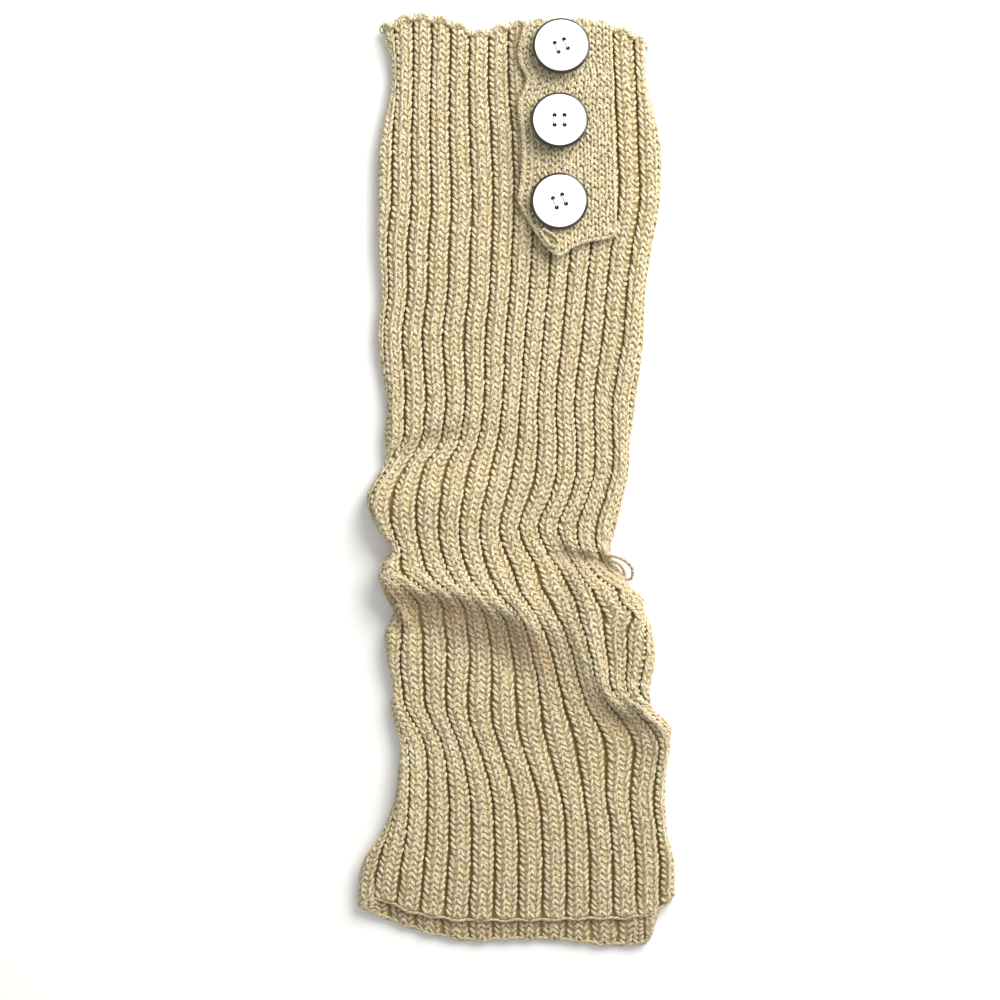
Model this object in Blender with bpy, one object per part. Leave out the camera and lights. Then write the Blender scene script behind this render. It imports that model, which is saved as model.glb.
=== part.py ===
"""A chunky rib-knit leg warmer that lies flat on a table, with a knitted button tab and three buttons.

X runs across the leg warmer and +Y to its top edge. It rests on the plane z = 0, and the origin is
under the middle of it. The tables are in millimetres, and the meshes in metres.
"""

from math import cos, pi, radians, sin, tau

import bmesh
import bpy
import numpy as np

MM = 0.001

# The leg: a tube of rib knit that lies flat, so its front and back panels lie on each other.
TOP_Y = 240.0  # the middle of the top edge
LEG = 468.0  # from the top edge down to the front hem
GROOVE_TOP = 7.2  # height of the two panels at the bottom of a groove
RIB = 2.2  # how far a rib's crown stands over its grooves
BACK_PANEL = 3.4  # thickness of the panel that rests on the table
SLOT = 0.8  # between the two panels
SIDE_WALL = 5.0  # thickness of the folded sides
ROUND = 6.5  # largest radius of the folded sides
FIRST_PLACE, LAST_PLACE = -0.5, 14.5  # the ribs that are modelled, counted in grooves
STEPS_A_RIB = 4
FLAT_POINTS = 9  # across the flat underside, between the ribs that turn under the sides
SLOT_POINTS = 13  # across each side of the slot
TOP_BLEND = 40.0  # the wave of the top edge fades over this length
HEM_BLEND = 40.0  # and that of the hems over this one
BACK_TOP_DIP = 2.5  # the back's top edge is this much lower

# A row for each section: its distance down from the top edge, then x at the left side, at the
# grooves 1, 4, 7, 10 and 13, and at the right side. A groove past a side lies under the leg.
SECTION_GROOVES = (1, 4, 7, 10, 13)
SECTIONS = (
    (0, -69.5, -64, -34, -4, 28.5, 61.5, 69),
    (10, -67, -63.5, -34, -4, 28.5, 62, 69),
    (24, -65, -63, -34.5, -4, 29, 62.5, 69),
    (67, -72.5, -64.5, -34.5, -1.5, 31.5, 64, 76.5),
    (93, -73, -65, -33.5, -1, 32, 64.5, 76),
    (119, -72.5, -67.5, -35, -2, 28.5, 60.5, 71.5),
    (140, -70.5, -67, -35.5, -3, 26.5, 58, 68.5),
    (161, -72.5, -69.5, -38, -5, 24.5, 56.5, 67.5),
    (203, -68, -67.5, -37, -7.5, 21, 50.5, 62.5),
    (221, -69, -68.5, -41, -10, 22, 51, 60),
    (229, -68.5, -71.5, -47, -12, 21.5, 51, 60),
    (234, -71, -75, -49, -13, 21.5, 50.5, 59.5),
    (246, -78, -82, -51.5, -15.5, 18.5, 47.5, 57),
    (265, -72.5, -76.5, -51.5, -18.5, 12, 42, 52.5),
    (276, -66, -70.5, -49, -17, 17, 42.5, 50),
    (283, -71, -73.5, -47, -15, 21.5, 45, 53),
    (294, -71.5, -68, -39, -10.5, 26.5, 58.5, 60.5),
    (300, -68.5, -64.5, -34.5, -7, 30, 64.5, 66),
    (307, -65, -61, -29, -1, 32, 68.5, 68),
    (318, -69, -59.5, -25.5, 5, 35.5, 69, 72),
    (331, -68.5, -60.5, -24, 8.5, 39, 67.5, 73.5),
    (349, -65, -59, -25, 12, 45, 66, 70.5),
    (356, -66, -58, -25.5, 13, 48.5, 67, 70.5),
    (368, -63.5, -53, -23.5, 14, 54.5, 78, 81.5),
    (375, -61.5, -50, -21.5, 15, 56.5, 81.5, 81.5),
    (391, -62, -54.5, -27, 7.5, 48, 79, 79),
    (406, -64, -56.5, -24.5, 10.5, 48, 78, 78.5),
    (422, -70, -59, -23, 13.5, 49.5, 79.5, 79.5),
    (434, -78, -60.5, -23.5, 14.5, 50.5, 82, 82.5),
    (468, -84, -64, -25, 14, 50, 82, 84),
)

# How far each edge lies above or below its mean line, at x.
TOP_EDGE = (
    (-84, -1), (-67, -2), (-61, 1), (-52, 3), (-43, 2), (-32, -1), (-19, -6), (-12, -4), (0, -1),
    (16, 0), (30, 0), (40, 0), (48, -2), (56, -5), (63, -7), (69, -12), (84, -16),
)
FRONT_HEM = ((-84, 7), (-75, 10), (-54, 3), (-38, 0), (0, -1), (40, 0), (60, 0.5), (72, 3), (84, 12))
BACK_HEM = (
    (-84, 7), (-68, 0), (-50, -6.5), (-28, -11.5), (0, -11), (30, -12), (46, -14), (62, -13.5),
    (68, -12.5), (71, -9), (73, -2), (75, 5), (84, 12),
)

# A row for each fold of the front: what it is, its height, how far it reaches above and below its
# line, how far it leans down the leg, how far it takes to fade in at its left end and out at its
# right end (0 where it runs on round the side), and its line, as x and distance down.
FOLDS = (
    ("soft dent beside the tab", -1.0, 26, 30, 0, 25, 20, ((-50, 95), (-20, 90), (20, 95))),
    ("swell over the crease", 1.5, 14, 9, 0.5, 0, 30, ((-70, 212), (-40, 207), (20, 203))),
    ("crease over the left bulge", -3.0, 6, 5, 0, 0, 24,
     ((-69, 231), (-55, 224), (-43, 219), (-19, 216))),
    ("left bulge", 8.0, 15, 28, 1.5, 0, 45, ((-78, 252), (-50, 249), (-19, 245), (9, 241))),
    ("crease over the right bulge", -4.4, 6, 4, 0, 12, 0, ((12, 273), (23, 277), (44, 281), (56, 282))),
    ("overhang", 7.0, 18, 8, 0.5, 0, 18,
     ((-73, 284), (-60, 291), (-45, 293), (-24, 297), (-3, 305), (9, 313), (18, 321))),
    ("its shaded flank", 2.5, 10, 17, 0, 0, 20,
     ((-73, 287), (-60, 294), (-45, 297), (-24, 302), (-3, 311), (9, 320), (24, 334))),
    ("hollow under the overhang", -2.5, 9, 10, 0, 8, 14, ((-58, 319), (-34, 325), (-8, 332), (14, 344))),
    ("left lobe", 4.5, 4.5, 4, 1, 0, 7, ((-75, 284), (-68, 297), (-59, 309), (-51, 316))),
    ("long slope of the right bulge", 5.0, 16, 13, 0, 20, 14, ((-10, 294), (15, 305), (36, 325), (52, 349))),
    ("right bulge", 7.0, 8, 30, 1, 18, 0, ((21, 290), (44, 296), (65, 312), (76, 333))),
    ("lower right overhang", 4.0, 12, 6, 0.5, 12, 0, ((36, 338), (51, 352), (65, 356), (78, 358))),
    ("crease under it", -2.6, 5, 5, 0, 12, 0, ((34, 348), (50, 363), (67, 367), (80, 373))),
    ("lip below the crease", 3.5, 3.5, 10, -1, 14, 0, ((55, 362), (70, 366), (82, 374))),
    ("left swell", 2.5, 6, 14, 0.5, 0, 36, ((-71, 322), (-50, 323), (-20, 327))),
    ("soft dent over the ankle", -1.5, 12, 15, 0, 0, 18, ((-62, 378), (-8, 380), (42, 376))),
    ("swell at the ankle", 1.5, 16, 20, 0, 25, 0, ((8, 418), (50, 414), (82, 408))),
)

# Rings down the leg: they are close where it folds. Each row says how far down and in how many steps.
RINGS = ((40, 4), (205, 11), (385, 36), (428, 3), (LEG, 5))

# The knitted tab that lies on the front, sewn along its right side.
TAB = 3.0  # its thickness
TAB_RIBS = 10
TAB_RIB = 0.6
TAB_ROWS = 20
SEAM = 0.35  # between the tab and the ribs under it, and between a button and the tab
# Its sides, as distance down, x at the left and x at the right.
TAB_SIDES = (
    (0, 4.5, 50.0), (20, 2.0, 50.5), (30, 6.0, 51.0), (41, 2.0, 51.0), (60, 3.5, 51.5),
    (82, 3.0, 52.0), (93, 1.5, 52.5), (106, 3.0, 52.5), (125, 6.0, 52.5),
)
# Its lower edge, as a share of the width from the left, and distance down.
TAB_FOOT = ((0, 93), (0.1, 105), (0.24, 117), (0.35, 121.5), (0.52, 117), (1, 111.5))
TAB_CURL = 3.5  # its lower left corner lifts this much
TAB_CURL_SPREAD = 13.0
TAB_CURL_AT = (18.0, 120.0)  # x and distance down
TAB_TOP = 1.0  # its top edge is this far below the leg's

# The sewn-on buttons.
BUTTON = 30.0  # diameter
BUTTON_SIDES = 40
# From the middle of the underside round the rim to the middle of the dished face: radius and height,
# as shares of the button's radius and in millimetres.
BUTTON_PROFILE = ((0.9, 0.0), (1.0, 0.9), (1.0, 1.9), (0.96, 2.7), (0.88, 3.0), (0.79, 2.6), (0.7, 2.2))
HOLE = 2.4  # diameter
HOLE_SPACING = 5.2
HOLE_SIDES = 12
CUTTER = 9.0  # height of the posts that cut the holes
# A row for each button: its x, its distance down, the turn of its holes and its tilt, in degrees.
BUTTONS = ((23.5, 13.5, 22, 10), (22.6, 52.2, 0, 10), (22.6, 94.0, 22, 4))

SOFT_EDGE, HARD_EDGE = radians(60), radians(30)  # edges sharper than these aren't shaded smooth
KNIT_ROUGHNESS, BUTTON_ROUGHNESS = 0.9, 0.15
YARN_COLOUR = (0.61, 0.49, 0.31)
TAB_COLOUR = (0.66, 0.54, 0.35)
BUTTON_COLOUR = (0.93, 0.93, 0.91)


def ease(share):
    """A smooth step from 0 to 1."""
    share = np.clip(share, 0, 1)
    return share * share * (3 - 2 * share)


def through(at, knots, values):
    """Reads the smooth curve through the knots, at each place. Each place may have values of its own."""
    at, knots, values = np.asarray(at, float), np.asarray(knots, float), np.asarray(values, float)
    if values.ndim == 1:
        values = np.repeat(values[:, None], len(at), axis=1)
    slopes = np.gradient(values, knots, axis=0)
    i = np.clip(np.searchsorted(knots, at, side="right") - 1, 0, len(knots) - 2)
    each = np.arange(len(at))
    span = knots[i + 1] - knots[i]
    t = np.clip((at - knots[i]) / span, 0, 1)
    start, end = values[i, each], values[i + 1, each]
    lead, follow = slopes[i, each] * span, slopes[i + 1, each] * span
    return (
        start
        + t * lead
        + t**2 * (3 * (end - start) - 2 * lead - follow)
        + t**3 * (lead + follow - 2 * (end - start))
    )


def leg_x(groove, down):
    """Where each groove, or place between two grooves, runs across the front, and the two sides."""
    rows = np.array(SECTIONS, float)
    left, *columns, right = (through(down, rows[:, 0], column) for column in rows[:, 1:].T)
    before = columns[0] - 2 * (columns[1] - columns[0]) / 3
    after = columns[-1] + 2 * (columns[-1] - columns[-2]) / 3
    knots = (SECTION_GROOVES[0] - 2, *SECTION_GROOVES, SECTION_GROOVES[-1] + 2)
    return through(groove, knots, [before, *columns, after]), left, right


def folds(x, down):
    """The height that the folds add at each place, and how far they lean down the leg."""
    height, lean = np.zeros(len(x)), np.zeros(len(x))
    for _, rise, above, below, tilt, fade_in, fade_out, line in FOLDS:
        line_x, line_down = np.array(line, float).T
        past = down - through(x, line_x, line_down)
        slope = np.gradient(line_down, line_x)
        past *= np.cos(np.arctan(through(x, line_x, slope)))
        shape = np.exp(-((past / np.where(past < 0, above, below)) ** 2))
        if fade_in:
            shape *= ease((x - line_x[0]) / fade_in)
        if fade_out:
            shape *= ease((line_x[-1] - x) / fade_out)
        height += rise * shape
        lean += tilt * shape
    return height, lean


def edge_y(x, down, at_top, at_hem):
    """The place along the leg, with the waves of the two edges."""
    top = through(x, *np.array(at_top, float).T) * (1 - ease(down / TOP_BLEND))
    hem = through(x, *np.array(at_hem, float).T) * ease((down - LEG + HEM_BLEND) / HEM_BLEND)
    return TOP_Y - down + top + hem


def rib(groove):
    """A rib's rounded cross-section: 0 in a groove and 1 on a crown."""
    return np.abs(np.sin(pi * groove)) ** 0.5


def front(groove, down):
    """Points of the ribbed cloth, folds included, and how far under each one is.

    That is 0 on the front and up to 1 where the cloth has turned round a side and lies underneath.
    """
    flat_x, left, right = leg_x(groove, down)
    past_left, past_right = left - flat_x, flat_x - right
    past = np.maximum(past_left, past_right)
    x = np.where(past_left > 0, left + past, np.where(past_right > 0, right - past, flat_x))
    rise, lean = folds(x, down)
    full = GROOVE_TOP + RIB * rib(groove) + rise
    radius = np.minimum(ROUND, (GROOVE_TOP + RIB + rise) / 2)
    share = np.clip(-past / radius, -1, 1)
    bulge = np.sign(share) * np.sqrt(1 - (1 - np.abs(share)) ** 2)
    under = np.clip(-bulge, 0, 1)
    z = radius + np.where(bulge > 0, full - radius, radius) * bulge
    front_y = edge_y(x, down, TOP_EDGE, FRONT_HEM) - lean * np.clip(bulge, 0, 1)
    return np.stack([x, front_y + (back_y(x, down) - front_y) * under, z], axis=1), under


def crown_height(x, down):
    """Height of the ribs' crowns, away from the sides."""
    return GROOVE_TOP + RIB + folds(x, down)[0]


def back_y(x, down):
    return edge_y(x, down, [(at, rise - BACK_TOP_DIP) for at, rise in TOP_EDGE], BACK_HEM)


def outer_ring(down):
    """Round the outside: over the ribbed front from under the left side, then back underneath.

    Beside the points it gives how far round they are: 0 to 1 over the front, 1 to 2 back under it.
    """
    count = round((LAST_PLACE - FIRST_PLACE) * STEPS_A_RIB) + 1
    top, under = front(np.linspace(FIRST_PLACE, LAST_PLACE, count), np.full(count, float(down)))
    x = np.linspace(top[-1, 0], top[0, 0], FLAT_POINTS + 2)[1:-1]
    flat = np.stack([x, back_y(x, np.full(len(x), float(down))), np.zeros(len(x))], axis=1)
    _, left, right = leg_x(np.zeros(1), np.full(1, float(down)))
    turn = (top[:, 0] - left) / (right - left)
    turn = np.where(under > 0, np.where(turn < 0.5, -turn, 2 - turn), turn)
    return np.concatenate([top, flat]), np.concatenate([turn, 1 + (right - x) / (right - left)])


def slot_ring(down):
    """Round the narrow slot between the front and back panels, and how far round its points are."""
    _, left, right = leg_x(np.zeros(1), np.full(1, float(down)))
    x = np.linspace(left[0] + SIDE_WALL, right[0] - SIDE_WALL, SLOT_POINTS)
    downs = np.full(len(x), float(down))
    lean = folds(x, downs)[1]
    level = np.full(len(x), BACK_PANEL)
    upper = np.stack([x, edge_y(x, downs, TOP_EDGE, FRONT_HEM) - lean / 2, level + SLOT], axis=1)
    lower = np.stack([x, back_y(x, downs), level], axis=1)
    turn = (x - left) / (right - left)
    return np.concatenate([upper, lower[::-1]]), np.concatenate([turn, 2 - turn[::-1]])


def skin(bm, rings):
    """Joins each ring of vertices to the next with quads."""
    for ring, after in zip(rings, rings[1:]):
        for i in range(len(ring)):
            j = (i + 1) % len(ring)
            bm.faces.new((ring[i], ring[j], after[j], after[i]))


def rim(bm, outer, outer_turns, inner, inner_turns):
    """Joins two loops with different numbers of vertices, by how far round each vertex is."""
    i = j = 0
    while i < len(outer) or j < len(inner):
        next_outer = outer_turns[i + 1] if i + 1 < len(outer) else 2 + outer_turns[0]
        next_inner = inner_turns[j + 1] if j + 1 < len(inner) else 2 + inner_turns[0]
        here, there = outer[i % len(outer)], inner[j % len(inner)]
        if j == len(inner) or (i < len(outer) and next_outer <= next_inner):
            bm.faces.new((here, outer[(i + 1) % len(outer)], there))
            i += 1
        else:
            bm.faces.new((here, inner[(j + 1) % len(inner)], there))
            j += 1


def material(name, colour, roughness):
    made = bpy.data.materials.new(name)
    made.use_nodes = True
    shader = made.node_tree.nodes["Principled BSDF"]
    shader.inputs["Base Color"].default_value = (*colour, 1)
    shader.inputs["Roughness"].default_value = roughness
    return made


def add_object(name, bm, surface, sharp=SOFT_EDGE):
    """Makes the object of a closed bmesh, shaded smooth."""
    bmesh.ops.recalc_face_normals(bm, faces=bm.faces)
    mesh = bpy.data.meshes.new(name)
    bm.to_mesh(mesh)
    bm.free()
    mesh.shade_smooth()
    mesh.set_sharp_from_angle(angle=sharp)
    mesh.materials.append(surface)
    made = bpy.data.objects.new(name, mesh)
    bpy.context.collection.objects.link(made)
    return made


def vertices(bm, points):
    return [bm.verts.new(point * MM) for point in points]


def make_leg(surface):
    """The leg: rings of points down its outside and down the slot, joined by a rim at each end."""
    downs = [0.0]
    for end, count in RINGS:
        start = downs[-1]
        downs += [start + (end - start) * (k + 1) / count for k in range(count)]
    bm = bmesh.new()
    outside, inside = [outer_ring(down) for down in downs], [slot_ring(down) for down in downs]
    outer, inner = ([vertices(bm, ring) for ring, _ in rings] for rings in (outside, inside))
    skin(bm, outer)
    skin(bm, [ring[::-1] for ring in inner])
    for k in (0, -1):
        rim(bm, outer[k], outside[k][1], inner[k], inside[k][1])
    return add_object("leg_tube", bm, surface)


def tab_point(share, row):
    """A point of the tab's underside: share across from the left, row down from 0 to 1."""
    foot = through(share, *np.array(TAB_FOOT, float).T)
    down = TAB_TOP + row * (foot - TAB_TOP)
    downs, left, right = np.array(TAB_SIDES, float).T
    left, right = through(down, downs, left), through(down, downs, right)
    x = left + (right - left) * share
    away = np.hypot(x - TAB_CURL_AT[0], down - TAB_CURL_AT[1])
    curl = TAB_CURL * np.exp(-((away / TAB_CURL_SPREAD) ** 2))
    z = crown_height(x, down) + SEAM + curl
    return np.stack([x, edge_y(x, down, TOP_EDGE, FRONT_HEM), z], axis=1)


def make_tab(surface):
    """The tab: an upper and a lower grid of points, joined round their edges."""
    shares = np.arange(2 * TAB_RIBS + 1) / (2 * TAB_RIBS)
    thickness = TAB - TAB_RIB + TAB_RIB * (np.arange(len(shares)) % 2)
    thickness[[0, -1]] -= TAB_RIB
    bm = bmesh.new()
    under, over = [], []
    for k in range(TAB_ROWS + 1):
        points = tab_point(shares, np.full(len(shares), k / TAB_ROWS))
        under.append(vertices(bm, points))
        over.append(vertices(bm, points + np.stack([0 * thickness, 0 * thickness, thickness], axis=1)))
    skin(bm, [low + high[::-1] for low, high in zip(under, over)])
    for low, high in ((under[0], over[0]), (under[-1], over[-1])):
        for i in range(len(low) - 1):
            bm.faces.new((low[i], low[i + 1], high[i + 1], high[i]))
    return add_object("button_tab", bm, surface)


def turned(bm, profile):
    """A disc turned from a profile of radius and height, closed by a flat face at each end."""
    rings = []
    for radius, height in profile:
        ring = []
        for k in range(BUTTON_SIDES):
            angle = tau * k / BUTTON_SIDES
            ring.append(bm.verts.new(np.array([radius * cos(angle), radius * sin(angle), height]) * MM))
        rings.append(ring)
    skin(bm, rings)
    bm.faces.new(rings[0])
    bm.faces.new(rings[-1])


def hole_cutter(name):
    """Four posts where the thread holes go."""
    bm = bmesh.new()
    half = HOLE_SPACING / 2
    for x in (-half, half):
        for y in (-half, half):
            made = bmesh.ops.create_cone(
                bm,
                cap_ends=True,
                segments=HOLE_SIDES,
                radius1=HOLE / 2 * MM,
                radius2=HOLE / 2 * MM,
                depth=CUTTER * MM,
            )
            bmesh.ops.translate(bm, verts=made["verts"], vec=(x * MM, y * MM, 0))
    mesh = bpy.data.meshes.new(name)
    bm.to_mesh(mesh)
    bm.free()
    cutter = bpy.data.objects.new(name, mesh)
    cutter.hide_render = True
    cutter.display_type = "WIRE"
    bpy.context.collection.objects.link(cutter)
    return cutter


def make_button(number, x, down, turn, tilt, surface):
    """A round four-hole button whose lower rim stands off the tab by its tilt."""
    bm = bmesh.new()
    turned(bm, [(share * BUTTON / 2, height) for share, height in BUTTON_PROFILE])
    button = add_object(f"button_{number}", bm, surface, sharp=HARD_EDGE)
    rest = crown_height(np.array([x]), np.array([float(down)]))[0] + SEAM + TAB + SEAM
    lift = BUTTON_PROFILE[0][0] * BUTTON / 2 * sin(radians(tilt))
    button.location = (x * MM, (TOP_Y - down) * MM, (rest + lift) * MM)
    button.rotation_euler = (radians(-tilt), 0, radians(turn))
    button.rotation_mode = "ZYX"
    cutter = hole_cutter(f"holes_{number}")
    cutter.parent = button
    cut = button.modifiers.new("thread holes", "BOOLEAN")
    cut.operation = "DIFFERENCE"
    cut.solver = "EXACT"
    cut.object = cutter
    return button


def main():
    for old in list(bpy.data.objects):
        bpy.data.objects.remove(old, do_unlink=True)
    make_leg(material("rib knit yarn", YARN_COLOUR, KNIT_ROUGHNESS))
    make_tab(material("tab yarn", TAB_COLOUR, KNIT_ROUGHNESS))
    plastic = material("white button plastic", BUTTON_COLOUR, BUTTON_ROUGHNESS)
    for number, row in enumerate(BUTTONS, 1):
        make_button(number, *row, plastic)


main()
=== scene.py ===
"""A beige rib-knit leg warmer that lies flat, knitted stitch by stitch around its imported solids.

The tables are in millimetres, and the meshes in metres. Down is the distance from the top edge to the
hem. On a knitted panel a place is a column, a row and a height off its face.
"""

from math import pi, radians, sin, tau

import bpy
import numpy as np
from mathutils import Euler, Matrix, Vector


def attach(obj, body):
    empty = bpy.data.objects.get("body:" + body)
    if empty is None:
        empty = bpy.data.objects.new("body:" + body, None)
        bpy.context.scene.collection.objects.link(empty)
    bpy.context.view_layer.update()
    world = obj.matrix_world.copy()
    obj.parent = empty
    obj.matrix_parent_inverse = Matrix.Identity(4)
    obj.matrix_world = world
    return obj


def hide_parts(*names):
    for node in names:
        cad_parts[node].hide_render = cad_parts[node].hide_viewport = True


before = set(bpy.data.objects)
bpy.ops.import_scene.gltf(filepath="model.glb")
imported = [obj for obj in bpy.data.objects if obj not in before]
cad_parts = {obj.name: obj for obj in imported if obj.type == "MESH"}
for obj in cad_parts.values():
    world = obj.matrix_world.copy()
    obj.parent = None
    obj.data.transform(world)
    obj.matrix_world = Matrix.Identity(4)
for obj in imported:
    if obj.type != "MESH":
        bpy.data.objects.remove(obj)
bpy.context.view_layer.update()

MM = 0.001
DRAW = np.random.default_rng(7)

# The leg. Its sizes are its solid's, except that the ribs' places below the middle, the left side of
# the ankle and the front's lower edge follow the photograph more closely.
TOP_Y = 240.0  # the middle of the top edge
LEG = 468.0  # from the top edge down to the front hem
GROOVE_TOP = 7.2  # height of the two panels at the bottom of a groove
RIB = 2.2  # how far a rib's crown stands over its grooves
BACK_PANEL = 3.4  # thickness of the panel that rests on the table
SLOT = 0.8  # between the two panels
SIDE_WALL = 5.0  # thickness of the folded sides
ROUND = 6.5  # largest radius of the folded sides
TOP_BLEND = 40.0  # the wave of the top edge fades over this length
HEM_BLEND = 40.0  # and the hems' waves over this one
BACK_TOP_DIP = 2.5  # the back's top edge is this much lower

# A row for each section: its distance down from the top edge, then x at the left side, at the
# grooves 1, 4, 7, 10 and 13, and at the right side. A groove past a side lies under the leg.
SECTION_GROOVES = (1, 4, 7, 10, 13)
SECTIONS = (
    (0, -69.5, -64, -34, -4, 28.5, 61.5, 69),
    (10, -67, -63.5, -34, -4, 28.5, 62, 69),
    (24, -65, -63, -34.5, -4, 29, 62.5, 69),
    (67, -72.5, -64.5, -34.5, -1.5, 31.5, 64, 76.5),
    (93, -73, -65, -33.5, -1, 32, 64.5, 76),
    (119, -72.5, -67.5, -35, -2, 28.5, 60.5, 71.5),
    (140, -70.5, -67, -35.5, -3, 26.5, 58, 68.5),
    (161, -72.5, -69.5, -38, -5, 24.5, 56.5, 67.5),
    (203, -68, -67.5, -37, -7.5, 21, 50.5, 62.5),
    (221, -69, -68.5, -41, -10, 22, 51, 60),
    (229, -68.5, -71.5, -47, -12, 21.5, 51, 60),
    (234, -71, -75, -49, -13, 21.5, 50.5, 59.5),
    (246, -78, -82, -51.5, -15.5, 18.5, 47.5, 57),
    (265, -72.5, -76.5, -51.5, -18.5, 12, 42, 52.5),
    (276, -66, -70.5, -49, -17, 17, 43, 50),
    (283, -71, -73.5, -47, -15, 22, 46.5, 53),
    (294, -71.5, -68, -39, -10.5, 26.8, 61, 60.5),
    (300, -68.5, -64.5, -34.5, -7, 30, 64.5, 66),
    (307, -65, -61, -29, -1, 32, 68.5, 68),
    (318, -69, -59.5, -25.5, 5, 35.5, 69, 72),
    (331, -68.5, -60.5, -24, 8.5, 39, 67.5, 73.5),
    (349, -65, -59, -25, 12, 43.2, 66, 70.5),
    (356, -66, -58, -25.3, 13, 47.5, 71, 70.5),
    (368, -63.5, -51.5, -23.2, 14.3, 57.5, 84, 81.5),
    (375, -61.5, -48, -20.6, 15.8, 60.8, 90, 81.5),
    (391, -62, -46, -15.4, 20.4, 60.4, 91, 79),
    (406, -64, -46, -12.4, 24.2, 59.3, 90, 78.5),
    (422, -70, -46.4, -11.4, 25.8, 61.6, 91.5, 79.5),
    (434, -78, -47.3, -11, 26.3, 62.5, 94, 82.5),
    (468, -84, -50.5, -12, 26.2, 63, 95, 84),
)

# How far each edge lies above or below its mean line, at x.
TOP_EDGE = (
    (-84, -1), (-67, -2), (-61, 1), (-52, 3), (-43, 2), (-32, -1), (-19, -6), (-12, -4), (0, -1),
    (16, 0), (30, 0), (40, 0), (48, -2), (56, -5), (63, -7), (69, -12), (84, -16),
)
FRONT_HEM = ((-84, 7), (-75, 10), (-54, 3), (-38, 0), (0, -1), (40, 0), (60, 0.5), (72, 3), (84, 12))
BACK_HEM = (
    (-84, 7), (-68, 0), (-50, -6.5), (-28, -11.5), (0, -11), (30, -12), (46, -14), (62, -13.5),
    (68, -12.5), (71, -9), (73, -2), (75, 5), (84, 12),
)

# A row for each fold of the front: what it is, its height, how far it reaches above and below its
# line, how far it leans down the leg, how far it takes to fade in at its left end and out at its
# right end (0 where it runs on round the side), and its line, as x and distance down.
FOLDS = (
    ("soft dent beside the tab", -1.0, 26, 30, 0, 25, 20, ((-50, 95), (-20, 90), (20, 95))),
    ("swell over the crease", 1.5, 14, 9, 0.5, 0, 30, ((-70, 212), (-40, 207), (20, 203))),
    ("crease over the left bulge", -3.0, 6, 5, 0, 0, 24,
     ((-69, 231), (-55, 224), (-43, 219), (-19, 216))),
    ("left bulge", 8.0, 15, 28, 1.5, 0, 45, ((-78, 252), (-50, 249), (-19, 245), (9, 241))),
    ("lip over the next crease", 2.2, 6, 1.8, 1, 14, 0,
     ((20, 271.5), (32, 274.5), (44, 277), (56, 278.5))),
    ("crease over the right bulge", -3.8, 6, 4.5, 0, 12, 0,
     ((12, 274), (23, 278), (44, 282), (56, 283))),
    ("overhang", 7.0, 18, 8, 0.5, 0, 18,
     ((-73, 284), (-60, 291), (-45, 293), (-24, 297), (-3, 305), (9, 313), (18, 321))),
    ("its shaded flank", 2.5, 10, 17, 0, 0, 20,
     ((-73, 287), (-60, 294), (-45, 297), (-24, 302), (-3, 311), (9, 320), (24, 334))),
    ("hollow under the overhang", -2.5, 9, 10, 0, 8, 14, ((-58, 319), (-34, 325), (-8, 332), (14, 344))),
    ("left lobe", 4.5, 4.5, 4, 1, 0, 7, ((-75, 284), (-68, 297), (-59, 309), (-51, 316))),
    ("long slope of the right bulge", 5.0, 16, 13, 0, 20, 14,
     ((-10, 294), (15, 305), (36, 325), (52, 349))),
    ("right bulge", 7.0, 8, 30, 1, 18, 0, ((21, 290), (44, 296), (65, 312), (76, 333))),
    ("lower right overhang", 4.0, 12, 6, 0.5, 12, 0, ((36, 338), (51, 352), (65, 356), (78, 358))),
    ("crease under it", -2.6, 5, 5, 0, 12, 0, ((34, 348), (50, 363), (67, 367), (80, 373))),
    ("lip below the crease", 3.5, 3.5, 10, -1, 14, 0, ((55, 362), (70, 366), (82, 374))),
    ("left swell", 2.5, 6, 14, 0.5, 0, 36, ((-71, 322), (-50, 323), (-20, 327))),
    ("soft dent over the ankle", -1.5, 12, 15, 0, 0, 18, ((-62, 378), (-8, 380), (42, 376))),
    ("swell at the ankle", 1.5, 16, 20, 0, 25, 0, ((8, 418), (50, 414), (82, 408))),
    ("left side of the ankle, rolled up", 3.5, 34, 44, 0, 0, 15, ((-90, 396), (-60, 396), (-45, 396))),
    ("front edge, lying on the back", -1.7, 13, 13, 0, 0, 0, ((-90, 468), (0, 468), (90, 468))),
)

# The overhang shears the knit, so that its ribs run along the fold: how far the knit slides along the
# line at most, over what length that fades above and below it, how far it takes to fade in and out at
# the line's ends, and the line.
SLIDE = (5, 5, 7, 14, 20, ((-70, 287), (-60, 293), (-45, 297), (-24, 302), (-3, 310), (9, 317)))
SLIDE_MARGIN = 14.0  # it also fades out over this length towards a side of the leg

# Where the knit is squashed under a fold, its ribs lie flatter, and its yarn is drawn darker and pinker
# there as painted shade. A row for each: which, how much, and then as for SLIDE.
FLANKS = (
    ("under the overhang", 1.1, 8, 13, 8, 14,
     ((-72, 297), (-60, 301), (-45, 305), (-24, 310), (-3, 319), (12, 329), (26, 343))),
    ("under the crease over the right bulge", 0.35, 4, 5, 12, 4,
     ((8, 277), (23, 282), (44, 286), (58, 288))),
    ("under the lower right overhang", 0.8, 4, 6, 12, 4, ((28, 345), (50, 364), (65, 368), (82, 375))),
)
PRESSED = 0.5  # of the ribs' relief is left there

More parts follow.
